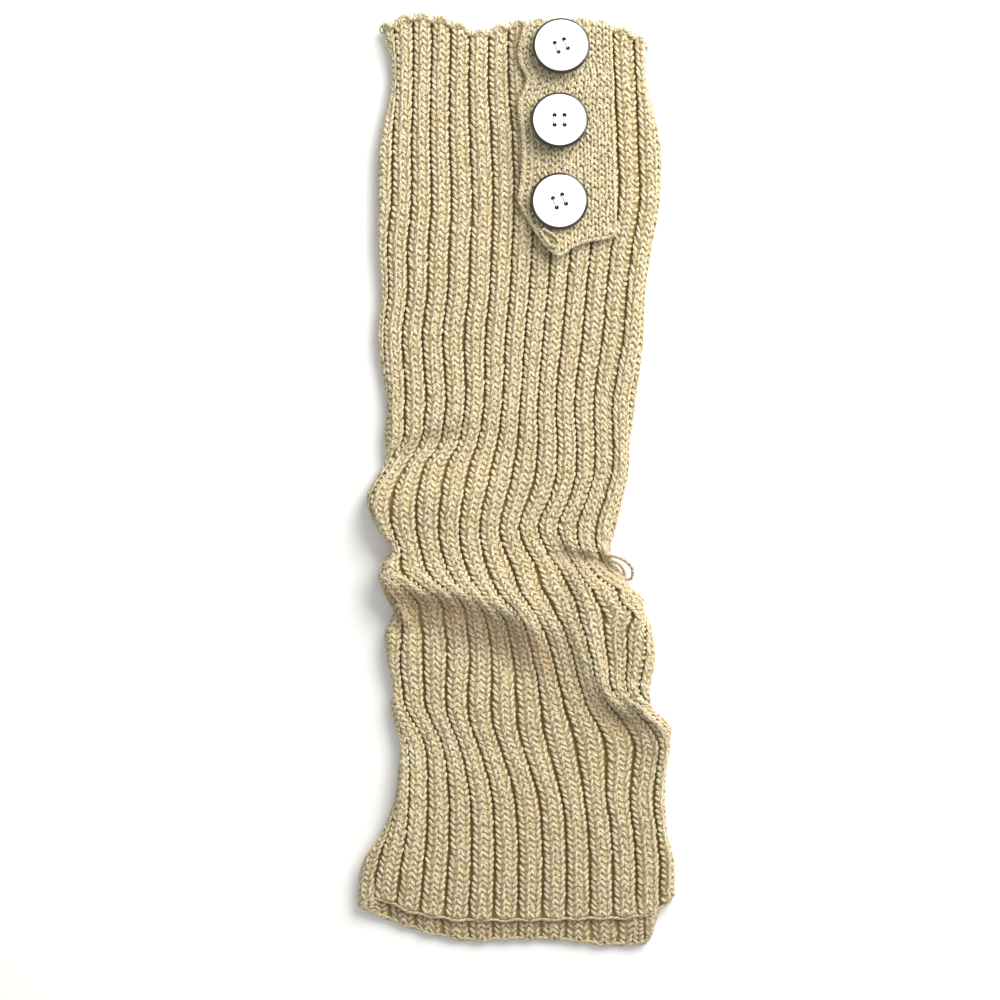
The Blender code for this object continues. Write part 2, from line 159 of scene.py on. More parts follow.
# The knit.
RIBS = 28  # round the whole leg, two stitches each
FRONT_GROOVES = (1, 13)  # between these the sections say where each groove runs
ROWS = 154
YARN = 0.98  # radius of the yarn at a stitch's widest
WALES = (0.289, 0.711)  # where a rib's two columns of stitches stand, as shares of its width
WALE = 0.445  # width of one of them
FLATTENED = 0.7  # the yarn's height as a share of its width
RESTING_RELIEF = 0.3  # of the ribs' relief is left on the underside
COLUMN_STEPS, ROW_STEPS = 8, 4  # of the panel's grid, for each rib and each row
DOWN_STEP = 1.0  # between the sections that the leg is first measured at
SECTION_POINTS = 361  # round each of them

# The knitted tab that lies on the front, sewn along its right side.
TAB = 3.0  # its thickness
TAB_WALES, TAB_ROWS = 13, 36  # columns and rows of stitches
TAB_STEPS = 4  # of its grid, for each column
SEAM = 0.35  # between the leg, the tab and the buttons
TAB_SIDES = (  # distance down, and x at its left and right
    (0, 4.5, 50.0), (20, 2.0, 50.5), (30, 6.0, 51.0), (41, 2.0, 51.0), (60, 3.5, 51.5),
    (82, 3.0, 52.0), (93, 1.5, 52.5), (106, 3.0, 52.5), (125, 6.0, 52.5),
)
# How far down its foot is, at each share of its width.
TAB_FOOT = ((0, 93), (0.1, 105), (0.24, 117), (0.35, 121.5), (0.52, 117), (1, 111.5))
TAB_CURL = 3.5  # its lower left corner lifts this much
TAB_CURL_SPREAD = 13.0  # over this distance from TAB_CURL_AT
TAB_CURL_AT = (18.0, 120.0)  # x and distance down
TAB_TOP = 1.0  # its top edge is this far below the leg's
TAB_CURL_PATH = (  # the yarn that curls round in that corner, as columns and rows
    (2.5, 34.6), (2.8, 35.2), (3.5, 35.5), (4.4, 35.0), (4.8, 34.3),
    (4.6, 33.5), (3.9, 33.2), (3.0, 33.6), (2.5, 34.6),
)

# The strip of the back's inner face that shows below the front hem: x at its grooves.
STRIP_GROOVES = (-82, -66, -52.7, -38.6, -24.5, -12, 1, 13.1, 26.1, 39.2, 53.2, 67.3, 73.5)
STRIP_ROWS, STRIP_ROW = 9, 3.1  # how many rows, and the length of one
STRIP_STEPS = 4  # of its grid, for each rib and each row
STRIP_SHADE = 0.35  # painted shade: it is drawn pinker and darker than the front, as it lies under the front hem
STRIP_RISE, STRIP_RISE_OVER = 2.5, 16.0  # it rises towards both sides of the leg
STRIP_SIDE = 0.3  # share of its length that is left at those sides
STRIP_RELIEF = 0.8  # its ribs stand out less than the leg's
STRIP_WAVE = 0.15  # how far its edge waves in and out with them, as a share of a row


def ease(share):
    """A smooth step from 0 to 1."""
    share = np.clip(share, 0, 1)
    return share * share * (3 - 2 * share)


def unit(vectors):
    """Vectors of length 1 that point the same way."""
    return vectors / np.linalg.norm(vectors, axis=-1, keepdims=True)


def lengths(points, axis):
    """The length of each line of points from its start, at each of its points."""
    steps = np.linalg.norm(np.diff(points, axis=axis), axis=-1)
    return np.insert(np.cumsum(steps, axis=axis), 0, 0, axis=axis)


def through(at, knots, values):
    """Reads the smooth curve through the knots, at each place. A place may have values of its own."""
    at, knots, values = np.asarray(at, float), np.asarray(knots, float), np.asarray(values, float)
    if values.ndim == 1:
        values = np.repeat(values[:, None], len(at), axis=1)
    slopes = np.gradient(values, knots, axis=0)
    i = np.clip(np.searchsorted(knots, at, side="right") - 1, 0, len(knots) - 2)
    each = np.arange(len(at))
    span = knots[i + 1] - knots[i]
    t = np.clip((at - knots[i]) / span, 0, 1)
    start, end = values[i, each], values[i + 1, each]
    lead, follow = slopes[i, each] * span, slopes[i + 1, each] * span
    return (
        start
        + t * lead
        + t**2 * (3 * (end - start) - 2 * lead - follow)
        + t**3 * (lead + follow - 2 * (end - start))
    )


def sections_at(down):
    """x at the left side, at each named groove and at the right side, at each distance down."""
    rows = np.array(SECTIONS, float)
    return [through(down, rows[:, 0], column) for column in rows[:, 1:].T]


def band(x, down, above, below, fade_in, fade_out, line, square=True):
    """How much of a band along a line is felt at each place, from 0 to 1, and the line's tilt there.

    Its reach above and below the line is measured square to it, or else straight down.
    """
    line_x, line_down = np.array(line, float).T
    tilt = np.arctan(through(x, line_x, np.gradient(line_down, line_x)))
    past = down - through(x, line_x, line_down)
    if square:
        past *= np.cos(tilt)
    shape = np.exp(-((past / np.where(past < 0, above, below)) ** 2))
    if fade_in:
        shape *= ease((x - line_x[0]) / fade_in)
    if fade_out:
        shape *= ease((line_x[-1] - x) / fade_out)
    return shape, tilt


def folds(x, down):
    """The height that the folds add at each place, and how far they lean down the leg."""
    height, lean = np.zeros(len(x)), np.zeros(len(x))
    for _, rise, above, below, tilt, *ends_and_line in FOLDS:
        shape, _ = band(x, down, above, below, *ends_and_line)
        height += rise * shape
        lean += tilt * shape
    return height, lean


def flattening_and_shade(x, down):
    """How flat the ribs lie at each place, from 0 to 1, and so how much painted shade the yarn has
    there.
    """
    most = sum(much * band(x, down, *row, square=False)[0] for _, much, *row in FLANKS)
    return np.minimum(most, 1)


def slide(x, down):
    """How far across and down the knit slides along the overhang."""
    most, *row = SLIDE
    shape, tilt = band(x, down, *row)
    return most * shape * np.cos(tilt), most * shape * np.sin(tilt)


def edge_y(x, down, at_top, at_hem):
    """The place along the leg, with the waves of the two edges."""
    top = through(x, *np.array(at_top, float).T) * (1 - ease(down / TOP_BLEND))
    hem = through(x, *np.array(at_hem, float).T) * ease((down - LEG + HEM_BLEND) / HEM_BLEND)
    return TOP_Y - down + top + hem


def back_y(x, down):
    """The same for the back, which has edges of its own."""
    return edge_y(x, down, [(at, rise - BACK_TOP_DIP) for at, rise in TOP_EDGE], BACK_HEM)


def crown_height(x, down):
    """Height of the ribs' crowns, away from the sides."""
    return GROOVE_TOP + RIB + folds(x, down)[0]


def rib(column):
    """A rib's rounded cross-section: 0 in a groove and 1 on a crown."""
    return np.abs(np.sin(pi * column)) ** 0.5


def leg_face(flat_x, down, left, right):
    """The leg's outer face at its crowns. Past a side, flat_x runs on round it and along the back."""
    past_left, past_right = left - flat_x, flat_x - right
    past = np.maximum(past_left, past_right)
    x = np.where(past_left > 0, left + past, np.where(past_right > 0, right - past, flat_x))
    rise, lean = folds(x, down)
    full = GROOVE_TOP + RIB + rise
    radius = np.minimum(ROUND, full / 2)
    share = np.clip(-past / radius, -1, 1)
    bulge = np.sign(share) * np.sqrt(1 - (1 - np.abs(share)) ** 2)
    z = radius + np.where(bulge > 0, full - radius, radius) * bulge
    from_side = np.minimum(flat_x - left, right - flat_x)
    across, along = (each * ease(from_side / SLIDE_MARGIN) for each in slide(x, down))
    front_y = edge_y(x, down, TOP_EDGE, FRONT_HEM) - lean * np.clip(bulge, 0, 1) - along
    y = front_y + (back_y(x, down) - front_y) * np.clip(-bulge, 0, 1)
    return np.stack([x + across, y, z], axis=-1)


class Panel:
    """A sheet of knit: a grid of points whose rows run down it. The last column may join the first.

    Its last argument says how flat the ribs lie at each point, which also sets the stitches' painted
    shade.
    """

    def __init__(self, points, rows, columns, first_column=0.0, joined=False, flattening_and_shade=None):
        self.points, self.rows, self.columns, self.first = points, rows, columns, first_column
        self.joined = joined
        self.flattening_and_shade = np.zeros(points.shape[:2]) if flattening_and_shade is None else flattening_and_shade
        wrapped = np.concatenate([points[:, -3:-1], points, points[:, 1:3]], axis=1)
        across = np.gradient(wrapped, axis=1)[:, 2:-2] if joined else np.gradient(points, axis=1)
        normal = unit(np.cross(np.gradient(points, axis=0), across))
        beside = np.pad(normal, ((1, 1), (0, 0), (0, 0)), "edge")
        normal = beside[:-2] + 2 * normal + beside[2:]
        beside = np.pad(normal, ((0, 0), (1, 1), (0, 0)), "wrap" if joined else "edge")
        self.normals = unit(beside[:, :-2] + 2 * normal + beside[:, 2:])

    def read(self, column, row, height):
        """The points at a height off the face, and the face's normals there."""
        point, normal = self.between(column, row, (self.points, self.normals))
        normal = unit(normal)
        return point + normal * height[..., None], normal

    def flattening_and_shade_at(self, column, row):
        return self.between(column, row, (self.flattening_and_shade[..., None],))[0][..., 0]

    def between(self, column, row, grids):
        """Reads grids that lie over the panel, between their points."""
        steps_down, steps_across = self.points.shape[0] - 1, self.points.shape[1] - 1
        i = row / self.rows * steps_down
        j = (column - self.first) / self.columns * steps_across
        if self.joined:
            j = j % steps_across
        top = np.clip(np.floor(i), 0, steps_down - 1).astype(int)
        start = np.clip(np.floor(j), 0, steps_across - 1).astype(int)
        down, across = (i - top)[..., None], (j - start)[..., None]
        return [
            (grid[top, start] * (1 - across) + grid[top, start + 1] * across) * (1 - down)
            + (grid[top + 1, start] * (1 - across) + grid[top + 1, start + 1] * across) * down
            for grid in grids
        ]


def evenly(points, rows):
    """Spaces a grid's points evenly down each of its columns. A point may hold more than its place."""
    length = lengths(points[..., :3], 0)
    made = np.empty((rows * ROW_STEPS + 1, *points.shape[1:]))
    for j in range(points.shape[1]):
        at = np.linspace(0, length[-1, j], len(made))
        for k in range(points.shape[-1]):
            made[:, j, k] = np.interp(at, length[:, j], points[:, j, k])
    return made


def leg_panel():
    """The whole leg as one tube.

    At each section the ribs that it names stand where it says, by their length round the leg, and the
    others are spaced evenly over the rest of that length.
    """
    downs = np.linspace(0, LEG, round(LEG / DOWN_STEP) + 1)
    left, *named, right = sections_at(downs)
    first, last = FRONT_GROOVES
    columns = first + np.arange(RIBS * COLUMN_STEPS + 1) / COLUMN_STEPS
    on_front = columns <= last
    samples = np.linspace(-1, 1, SECTION_POINTS)
    flat = (left + right)[:, None] / 2 + (right - left)[:, None] * samples

    def face(across):
        """The leg's face at each section's own places across."""
        wide = across.shape[1]
        points = leg_face(across.ravel(), *(np.repeat(each, wide) for each in (downs, left, right)))
        return points.reshape(*across.shape, 3)

    round_it = lengths(face(flat)[..., [0, 2]], 1)
    flat_x = np.empty((len(downs), len(columns)))
    for k in range(len(downs)):
        placed = np.interp([groove[k] for groove in named], flat[k], round_it[k])
        rest = round_it[k, -1] - (placed[-1] - placed[0])
        at = placed[-1] + (columns - last) / (RIBS - last + first) * rest
        at[on_front] = through(columns[on_front], SECTION_GROOVES, placed)
        flat_x[k] = np.interp(at % round_it[k, -1], round_it[k], flat[k])
    points = face(flat_x)
    x, z = points[..., 0], points[..., 2]
    # how flat the ribs lie at each point, which also sets the painted shade of the stitches there
    squashed_and_shaded = flattening_and_shade(x.ravel(), np.repeat(downs, len(columns))).reshape(x.shape) * (z > ROUND)
    grid = evenly(np.concatenate([points, squashed_and_shaded[..., None]], axis=-1), ROWS)
    return Panel(grid[..., :3], ROWS, RIBS, first, joined=True, flattening_and_shade=grid[..., 3])


def tab_points(share, row):
    """A point of the tab's upper face: share across from the left, row down from 0 to 1."""
    foot = through(share, *np.array(TAB_FOOT, float).T)
    down = TAB_TOP + row * (foot - TAB_TOP)
    downs, left, right = np.array(TAB_SIDES, float).T
    left, right = through(down, downs, left), through(down, downs, right)
    x = left + (right - left) * share
    away = np.hypot(x - TAB_CURL_AT[0], down - TAB_CURL_AT[1])
    curl = TAB_CURL * np.exp(-((away / TAB_CURL_SPREAD) ** 2))
    z = crown_height(x, down) + SEAM + curl + TAB
    return np.stack([x, edge_y(x, down, TOP_EDGE, FRONT_HEM), z], axis=-1)


def tab_panel():
    share, row = np.meshgrid(
        np.linspace(0, 1, TAB_WALES * TAB_STEPS + 1), np.linspace(0, 1, TAB_ROWS * ROW_STEPS + 1)
    )
    points = tab_points(share.ravel(), row.ravel()).reshape(*share.shape, 3)
    return Panel(points, TAB_ROWS, TAB_WALES)


# Meshes.

PLY_STARTS = (0, 50)  # each strand's twist starts somewhere else along it


def show(name, data):
    """Puts a mesh, a light or a camera into the scene."""
    made = bpy.data.objects.new(name, data)
    bpy.context.scene.collection.objects.link(made)
    return made


def make_piece(name, points, faces, surface, strand=None):
    """Adds a mesh from points in millimetres. Strand holds each face corner's place along and round."""
    mesh = bpy.data.meshes.new(name)
    mesh.from_pydata((points * MM).tolist(), [], faces)
    if strand is not None:
        layer = mesh.uv_layers.new(name="strand")
        layer.data.foreach_set("uv", (strand * MM).astype(np.float32).ravel())
    mesh.shade_smooth()
    mesh.materials.append(surface)
    made = show(name, mesh)
    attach(made, "root")
    return made


def tube_faces(start, rings, width, outward):
    """The faces between the rings of a tube whose points are numbered from start."""
    i = np.arange(width)
    after = (i + 1) % width
    faces = []
    for k in range(rings - 1):
        a, b = start + k * width, start + (k + 1) * width
        corners = a + i, b + i, b + after, a + after
        faces.append(np.stack(corners if outward else (corners[0], *corners[:0:-1]), 1))
    return np.concatenate(faces)


def make_strands(name, centres, normals, radii, shade, surface, sides=6, flat=FLATTENED):
    """Adds many closed lengths of yarn that taper to a point at both ends.

    Centres, normals: by strand, station, axis; radii: by strand, station; painted shade: by strand.
    """
    count, stations = radii.shape
    rings = stations - 2
    along = unit(np.gradient(centres, axis=1))
    across = unit(np.cross(normals, along))
    up = np.cross(along, across)
    turn = tau * (np.arange(sides) + 0.5) / sides
    ring = (
        across[:, 1:-1, None] * np.cos(turn)[:, None] + up[:, 1:-1, None] * flat * np.sin(turn)[:, None]
    ) * radii[:, 1:-1, None, None]
    ring = (centres[:, 1:-1, None] + ring).reshape(count, rings * sides, 3)
    ring[..., 2] = np.maximum(ring[..., 2], 0)  # nothing sinks into the table
    points = np.concatenate([ring, centres[:, :1], centres[:, -1:]], axis=1).reshape(-1, 3)

    quads = tube_faces(0, rings, sides, outward=False)
    s = np.arange(sides)
    after = (s + 1) % sides
    last = (rings - 1) * sides
    first_tip, last_tip = np.full(sides, rings * sides), np.full(sides, rings * sides + 1)
    tips = np.concatenate([
        np.stack([first_tip, after, s], 1), np.stack([last + s, last + after, last_tip], 1)
    ])
    offset = np.arange(count)[:, None, None] * (rings * sides + 2)
    faces = (quads + offset).reshape(-1, 4).tolist() + (tips + offset).reshape(-1, 3).tolist()

    length = lengths(centres, 1) + DRAW.uniform(*PLY_STARTS, (count, 1))
    station_of = np.concatenate([np.repeat(np.arange(1, rings + 1), sides), [0, stations - 1]])
    side_of = np.concatenate([np.tile(np.arange(sides), rings), [0, 0]]) / sides
    strand = []
    for corners in (quads, tips):
        place = length[:, station_of[corners]]
        turned = np.broadcast_to(side_of[corners], place.shape).copy()
        turned[:, :, 1:3][(turned[:, :, 1:3] == 0)] = 1.0  # the last side ends where the first starts
        strand.append(np.stack([place, turned], axis=-1).reshape(-1, 2))
    made = make_piece(name, points, faces, surface, np.concatenate(strand))
    # each strand's painted shade, which the yarn's material reads
    keep(made, "shade", np.repeat(shade, rings * sides + 2))
    return made


def keep(piece, name, amounts):
    """Keeps an amount for each point, which the materials read by its name."""
    piece.data.attributes.new(name, "FLOAT", "POINT").data.foreach_set("value", amounts)


# A stitch is two legs. A row for each station of one leg, from its upper outer end to its lower inner
# one: how far out it is, as a share of the stitch's width, how many rows down, its height, its radius.
STITCH_LEG = (
    (0.46, -0.25, -1.00, 0.45),
    (0.42, 0.06, -0.15, 0.90),
    (0.35, 0.38, 0.05, 0.98),
    (0.22, 0.70, 0.05, 1.00),
    (0.10, 0.98, -0.25, 0.92),
    (0.02, 1.20, -1.00, 0.45),
)

# How much the stitches differ: across, as a share of a rib, along, as a share of a row, in thickness,
# as a share of it, and in height.
VARY_ACROSS, VARY_ALONG, VARY_THICKNESS, VARY_HEIGHT = 0.045, 0.09, 0.08, 0.12

FIRST_ROW, LAST_ROW = -0.4, -1.2  # the stitches' rows, from the top edge and from the lower one
TAB_LAST_ROW = -1.0
TAB_WALE = 0.9  # width of one of the tab's stitches, as a share of its column's

BACKING_DEPTH = 1.0  # from a stitch's outer face down to the knit behind it
GROOVE_DEPTH = 3.0  # the purl stitches between two ribs lie this much deeper
PURL_BUMP = 0.35  # how far each of them stands out
CLOTH_STEPS = (6, 2)  # of the leg's cloth, for each rib and each row
INNER_ROWS = 4  # its inner face has a ring at each fourth row
STRIP_BACKING = 2.2  # height of the back's inner face
STRIP_LEVEL = 5.3  # and of its stitches' crowns
STRIP_EDGE_DROP = 1.0  # they drop towards its lower edge
BACKING_HOLLOW = 0.8  # how far a thin backing is hollow between two ribs
BACK_MIDDLE = 21.0  # the column in the middle of the back

# An edge is bound off with two strands that turn round each other.
CORD_YARN = 0.8  # radius of one strand
CORD_TURN = 0.55  # distance of each strand from the cord's middle
CORD_STATIONS = 10  # for each turn
CORD_SWELL = 0.2  # share by which a strand swells and thins along the cord
SWELL_RATE, SWELL_START = 1.3, 2.0  # how often it does so for each turn, and where it starts
CORD_END = 0.4  # radius of its ends, as a share
CORD_VARY = 0.3  # how much the cord's height and its turn differ along it


def stitches(panel, wales, rows, width, relief=1.0):
    """The legs of a block of stitches: centre points, normals, radii, and how flat each lies, its
    painted shade.

    Relief is how far the ribs stand out, as a share of the leg's.
    """
    out, down, height, thick = np.array(STITCH_LEG, float).T
    column, row, side = (
        each.ravel()[:, None] for each in np.meshgrid(wales, rows, [-1.0, 1.0], indexing="ij")
    )
    count = len(column)
    shift = DRAW.normal(0, VARY_ACROSS, (count, 1))
    slip = DRAW.normal(0, VARY_ALONG, (count, 1))
    puff = DRAW.normal(1, VARY_THICKNESS, (count, 1))
    column = column + width * (side * out + shift)
    row = row + down + slip
    off = height * YARN + DRAW.normal(0, VARY_HEIGHT, (count, 1))
    centres, normals = panel.read(column, row, 0 * column)
    # flat is also the painted shade: these strands are drawn darker and pinker where the ribs lie flat
    flat = panel.flattening_and_shade_at(column, row)
    off += relief * rib_relief(column, normals) * (1 - (1 - PRESSED) * flat) - YARN * FLATTENED
    return centres + normals * off[..., None], normals, YARN * thick * puff, flat.mean(axis=1)


def edge_cord(panel, path, turns, height, size=1.0):
    """Two strands that turn round a path of columns and rows on a panel."""
    path = np.asarray(path, float)
    at = np.linspace(0, len(path) - 1, turns * CORD_STATIONS + 1)
    column, row = (np.interp(at, np.arange(len(path)), path[:, k]) for k in (0, 1))
    knots = np.linspace(at[0], at[-1], turns * 2)
    uneven = np.interp(at, knots, DRAW.normal(0, CORD_VARY, len(knots)))
    centre, normal = panel.read(column, row, height + uneven)
    return twisted(centre, normal, turns, size)


def twisted(centre, normal, turns, size=1.0):
    """Two strands that turn round a centre line. Their painted shade is 0."""
    side = unit(np.cross(unit(np.gradient(centre, axis=0)), normal))
    angle = tau * turns * np.linspace(0, 1, len(centre)) + np.array([0, pi])[:, None]
    knots = np.linspace(0, angle.max(), turns * 2)
    angle = angle + np.interp(angle, knots, DRAW.normal(0, CORD_VARY, len(knots)))
    away = np.cos(angle)[..., None] * side + np.sin(angle)[..., None] * normal
    radii = CORD_YARN * size * (1 + CORD_SWELL * np.sin(angle * SWELL_RATE + SWELL_START))
    radii[:, 0] = radii[:, -1] = CORD_YARN * CORD_END
    return centre + CORD_TURN * size * away, away, radii, np.zeros(len(radii))


def rib_relief(column, normals):
    """How far the ribs' section lies below their crowns. It is squashed where the leg rests."""
    return -RIB * (1 - rib(column)) * (RESTING_RELIEF + (1 - RESTING_RELIEF) * facing_up(normals))


def facing_up(normals):
    """1 where a face looks up or sideways, and 0 where it looks down."""
    return np.clip(0.5 + normals[..., 2], 0, 1)


def make_leg_stitches(panel, yarn):
    """The stitches all round the leg, in pieces of a few ribs each."""
    blocks = (  # name, first column, the column after the last, sides of the yarn
        ("front_stitches_left", 1, 6, 6),
        ("front_stitches_middle", 6, 10, 6),
        ("front_stitches_right", 10, 15, 6),
        ("back_stitches_right", 15, 21, 4),
        ("back_stitches_middle", 21, 27, 4),
        ("back_stitches_left", 27, 29, 6),
    )
    made = []
    for name, start, end, sides in blocks:
        wales = [k + share for k in range(start, end) for share in WALES]
        block = stitches(panel, wales, np.arange(FIRST_ROW, ROWS + LAST_ROW), WALE)
        made.append(make_strands(name, *block, yarn, sides))
    return made


def make_leg_edges(panel, yarn):
    """The bound-off edges at the top and at the hem. Each cord starts and ends behind the leg."""
    columns = BACK_MIDDLE + np.arange(RIBS * COLUMN_STEPS + 1) / COLUMN_STEPS
    cords = (  # name, row, how far it waves in and out with the ribs, height, size
        ("top_edge_cord", 0, 0.5, -0.6, 1.0),
        ("hem_edge_cord", ROWS, -0.12, -1.5, 0.7),
    )
    made = []
    for name, row, wave, height, size in cords:
        path = np.stack([columns, row + wave * np.cos(tau * columns)], axis=1)
        made.append(make_strands(name, *edge_cord(panel, path, 2 * RIBS, height, size), yarn))
    return made


def strip_panel():
    """The inner face of the back, with the ribs that show below the front hem."""
    columns = np.arange(STRIP_STEPS * (len(STRIP_GROOVES) - 1) + 1) / STRIP_STEPS
    x = through(columns, np.arange(len(STRIP_GROOVES)), STRIP_GROOVES)
    steps = np.linspace(0, 1, STRIP_ROWS * STRIP_STEPS + 1)[:, None]
    low = back_y(x, np.full(len(x), LEG))
    side = np.minimum(x - STRIP_GROOVES[0], STRIP_GROOVES[-1] - x)
    high = STRIP_ROWS * STRIP_ROW * (STRIP_SIDE + (1 - STRIP_SIDE) * ease(side / STRIP_RISE_OVER))
    y = low + (1 - steps) * high
    wide = np.broadcast_to(x, y.shape)
    level = STRIP_LEVEL - STRIP_EDGE_DROP * steps**6 + STRIP_RISE * ease(1 - side / STRIP_RISE_OVER)
    return Panel(np.stack([wide, y, level], axis=-1), STRIP_ROWS, len(STRIP_GROOVES) - 1)


def make_strip(panel, yarn, purl):
    """The stitches, the bound-off edge and the backing of that inner face."""
    wales = [k + share for k in range(panel.columns) for share in WALES]
    *block, flat = stitches(panel, wales, np.arange(0.0, STRIP_ROWS), WALE, STRIP_RELIEF)
    columns = np.linspace(0, panel.columns, COLUMN_STEPS * panel.columns + 1)
    path = np.stack([columns, STRIP_ROWS - STRIP_WAVE * np.cos(tau * columns)], axis=1)
    return [
        # painted shade: the strip's stitches get more of it than the front's
        make_strands("hem_strip_stitches", *block, flat + STRIP_SHADE, yarn),
        make_strands("hem_strip_edge", *edge_cord(panel, path, 2 * panel.columns, -1.0, 0.75), yarn),
        make_backing("hem_strip_backing", panel, purl, steps=(8, 2), depths=(1.5, 2.6), ribbed=True),
    ]


def make_leg_cloth(panel, surface):
    """The back of the knit, which shows between the stitches: a tube with an inner face."""
    per_rib, per_row = CLOTH_STEPS
    columns = FRONT_GROOVES[0] + np.arange(RIBS * per_rib) / per_rib
    rows = np.arange(ROWS * per_row + 1) / per_row
    column, row = np.meshgrid(columns, rows)
    face, normals = panel.read(column, row, 0 * column)
    open_ribs = 1 - (1 - PRESSED) * panel.flattening_and_shade_at(column, row)
    purl = PURL_BUMP * np.cos(tau * row) * (1 - rib(column))
    groove = (purl - GROOVE_DEPTH * (1 - rib(column))) * open_ribs
    outer = face + normals * (groove * facing_up(normals) - BACKING_DEPTH)[..., None]
    inside = BACK_PANEL + SLOT + BACKING_DEPTH / 2
    outer[..., 2] = np.where(normals[..., 2] > 0, np.maximum(outer[..., 2], inside), outer[..., 2])

    face, normals = panel.read(*np.meshgrid(columns, rows[:: INNER_ROWS * per_row]), np.zeros(1))
    left, right = face[..., 0].min(axis=1)[:, None], face[..., 0].max(axis=1)[:, None]
    middle, half = (left + right) / 2, (right - left) / 2 - SIDE_WALL
    inner = face.copy()
    inner[..., 0] = middle + np.clip(face[..., 0] - middle, -half, half)
    inner[..., 2] = STRIP_BACKING + (BACK_PANEL + SLOT - STRIP_BACKING) * facing_up(normals)

    width, rings, inner_rings = len(columns), len(outer), len(inner)
    start = rings * width
    i = np.arange(width)
    after = (i + 1) % width
    end, last = start - width, start + (inner_rings - 1) * width
    faces = np.concatenate([
        tube_faces(0, rings, width, outward=True),
        tube_faces(start, inner_rings, width, outward=False),
        np.stack([i, after, start + after, start + i], 1),
        np.stack([end + i, last + i, last + after, end + after], 1),
    ])
    points = np.concatenate([outer.reshape(-1, 3), inner.reshape(-1, 3)])
    made = make_piece("leg_cloth", points, faces.tolist(), surface)
    # painted shade in the grooves between the ribs, less where the ribs lie flat
    hollow = np.zeros(len(points))
    hollow[:start] = (1 - rib(np.tile(columns, rings))) ** 0.5 * open_ribs.ravel()
    keep(made, "hollow", hollow)
    return made


def make_backing(name, panel, surface, steps, depths, ribbed=False):
    """A slab under a panel's stitches, between two depths, with steps for each column and each row."""
    counts = panel.columns, panel.rows
    column, row = np.meshgrid(*(np.arange(many * each + 1) / each for many, each in zip(counts, steps)))
    hollow = (1 - rib(column)) * ribbed
    over, _ = panel.read(column, row, -depths[0] - BACKING_HOLLOW * hollow)
    under, _ = panel.read(column, row, -depths[1] + 0 * column)
    high, wide = column.shape
    number = np.arange(high * wide).reshape(high, wide)
    grid = np.stack([number[:-1, :-1], number[1:, :-1], number[1:, 1:], number[:-1, 1:]], -1)
    grid = grid.reshape(-1, 4)
    rim = np.concatenate([number[0, :-1], number[:-1, -1], number[-1, :0:-1], number[:0:-1, 0]])
    after = np.roll(rim, -1)
    count = high * wide
    faces = [*grid.tolist(), *(grid[:, ::-1] + count).tolist()]
    faces += np.stack([rim, after, after + count, rim + count], 1).tolist()
    points = np.concatenate([over.reshape(-1, 3), under.reshape(-1, 3)])
    made = make_piece(name, points, faces, surface)
    # painted shade in the hollows between its ribs, where it has ribs
    keep(made, "hollow", np.concatenate([hollow.ravel() ** 0.5, np.zeros(count)]))
    return made


# Fuzz and loose yarn.

FIBRES, TAB_FIBRES = 2400, 260
FIBRE = 0.07  # radius
FIBRE_LENGTHS = (1.5, 3.5)
FIBRE_STATIONS = 4  # points along each
FIBRE_RISES = (0.2, 0.7)  # how far it stands off, as a share of its length
FIBRE_DROOP = 1.4  # the smaller, the more its tip bends back

# A row for each loose yarn: its size, its turns, and where it runs, as x, y and z. Two loops hang off
# the right side over the right bulge, and two thin ends stand at the top left corner.
LOOSE_YARN = (
    (0.8, 5, ((47.0, -38.2, 8.5), (52.4, -39.2, 9), (57.2, -41.4, 8), (60.8, -45.4, 6.5),
              (60.4, -50.2, 5.5), (57.6, -50.8, 5.5))),
    (0.8, 4, ((48.0, -40.6, 9), (52.6, -42.2, 9.2), (55.6, -45.0, 8), (56.8, -48.6, 6.5),
              (55.2, -51.4, 6))),
    (0.4, 4, ((-67.2, 232.0, 6), (-68.2, 228.6, 8.6), (-66.4, 225.2, 9.2), (-64.6, 221.5, 9))),
    (0.4, 4, ((-69.0, 234.5, 5), (-71.0, 235.6, 7.0), (-70.2, 238.4, 7.6), (-67.2, 239.6, 7.8))),
)
LOOSE_SHADE = 0.7  # it looks greyer than the rest


def make_fuzz(name, panel, yarn, count, height):
    """Single fibres that stand off the yarn, drawn thicker than they are so that they show."""
    stations = np.ones(FIBRE_STATIONS)
    column = panel.first + DRAW.uniform(0, panel.columns, (count, 1)) * stations
    row = DRAW.uniform(0.5, panel.rows - 0.5, (count, 1)) * stations
    roots, normals = panel.read(column, row, np.full(column.shape, height))
    lean = DRAW.normal(0, 1, (count, 1, 3))
    lean = unit(lean - (lean * normals).sum(axis=-1, keepdims=True) * normals)
    length = DRAW.uniform(*FIBRE_LENGTHS, (count, 1, 1))
    share = np.linspace(0, 1, FIBRE_STATIONS)[:, None]
    rise = DRAW.uniform(*FIBRE_RISES, (count, 1, 1))
    centres = roots + length * (lean * share + normals * rise * share * (FIBRE_DROOP - share))
    centres[..., 2] = np.maximum(centres[..., 2], 2 * FIBRE)
    radii = np.full(column.shape, FIBRE)
    return make_strands(name, centres, normals, radii, np.zeros(count), yarn, sides=3, flat=1.0)


def make_loose_yarn(yarn):
    """The loops and ends that hang loose, of two strands each."""
    made = []
    for number, (size, turns, path) in enumerate(LOOSE_YARN, 1):
        path = np.array(path, float)
        at = np.linspace(0, len(path) - 1, turns * CORD_STATIONS + 1)
        centre = np.stack([through(at, np.arange(len(path)), path[:, k]) for k in range(3)], axis=-1)
        *block, shade = twisted(centre, np.array([0.0, 0.0, 1.0]), turns, size)
        made.append(make_strands(f"loose_yarn_{number}", *block, shade + LOOSE_SHADE, yarn))
    return made


